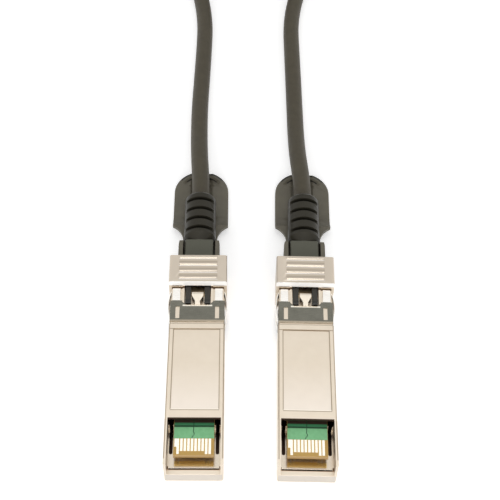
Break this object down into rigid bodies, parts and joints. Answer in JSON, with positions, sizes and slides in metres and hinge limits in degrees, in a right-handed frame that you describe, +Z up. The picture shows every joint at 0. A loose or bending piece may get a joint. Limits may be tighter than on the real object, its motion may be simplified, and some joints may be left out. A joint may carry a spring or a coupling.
{
  "type": "direct attach copper cable",
  "caption": "Copper network cable with a metal plug on each end, each with a card-edge mouth, spring collar and black pull-tab release; the spare cable lies in a coil.",
  "frame": {"origin": "on the table, midway between the two plugs and halfway along their length", "axes": "+Y from the plugs' host ends towards their pull tabs and the coil, +Z up out of the latch sides, +X towards plug b"},
  "size_m": [0.061, 0.2286, 0.0106],
  "materials": {
    "plated_zinc": "satin nickel over a die casting",
    "collar_steel": "satin rolled sheet",
    "card_laminate": "solder mask, half gloss",
    "contact_gold": "bright gold plating",
    "chip_epoxy": "moulded epoxy",
    "capacitor_ceramic": "fired ceramic",
    "screw_steel": "zinc plated",
    "black_nylon": "fine moulded grain",
    "black_overmould": "soft moulded, satin",
    "wire_insulation": "smooth",
    "ferrule_metal": "tin plated",
    "spring_steel": "bright rolled strip",
    "cable_jacket": "matte extruded jacket"
  },
  "bodies": {
    "plugs_and_cable": {"cover_shell_a": "plated_zinc", "latch_shell_a": "plated_zinc", "spring_collar_a": "collar_steel", "circuit_board_a": "card_laminate", "upper_contacts_a": "contact_gold", "lower_contacts_a": "contact_gold", "memory_chip_a": "chip_epoxy", "capacitors_a": "capacitor_ceramic", "case_screws_a": "screw_steel", "strain_relief_a": "black_overmould", "crimp_ferrule_a": "ferrule_metal", "signal_wires_a": "wire_insulation", "return_springs_a": "spring_steel", "cover_shell_b": "plated_zinc", "latch_shell_b": "plated_zinc", "spring_collar_b": "collar_steel", "circuit_board_b": "card_laminate", "upper_contacts_b": "contact_gold", "lower_contacts_b": "contact_gold", "memory_chip_b": "chip_epoxy", "capacitors_b": "capacitor_ceramic", "case_screws_b": "screw_steel", "strain_relief_b": "black_overmould", "crimp_ferrule_b": "ferrule_metal", "signal_wires_b": "wire_insulation", "return_springs_b": "spring_steel", "cable_run_a": "cable_jacket", "cable_run_b": "cable_jacket", "cable_coil": "cable_jacket"},
    "slider_a": {"release_slider_a": "black_nylon"},
    "slider_b": {"release_slider_b": "black_nylon"}
  },
  "joints": [
    {"name": "release_a", "type": "slide", "parent": "plugs_and_cable", "child": "slider_a", "axis": [-0.0101, 0.9999, 0], "range_m": [0, 0.0025], "stiffness_N_per_m": 400, "springref_m": -0.002, "deforming": ["return_springs_a"]},
    {"name": "release_b", "type": "slide", "parent": "plugs_and_cable", "child": "slider_b", "axis": [0.0101, 0.9999, 0], "range_m": [0, 0.0025], "stiffness_N_per_m": 400, "springref_m": -0.002, "deforming": ["return_springs_b"]}
  ]
}
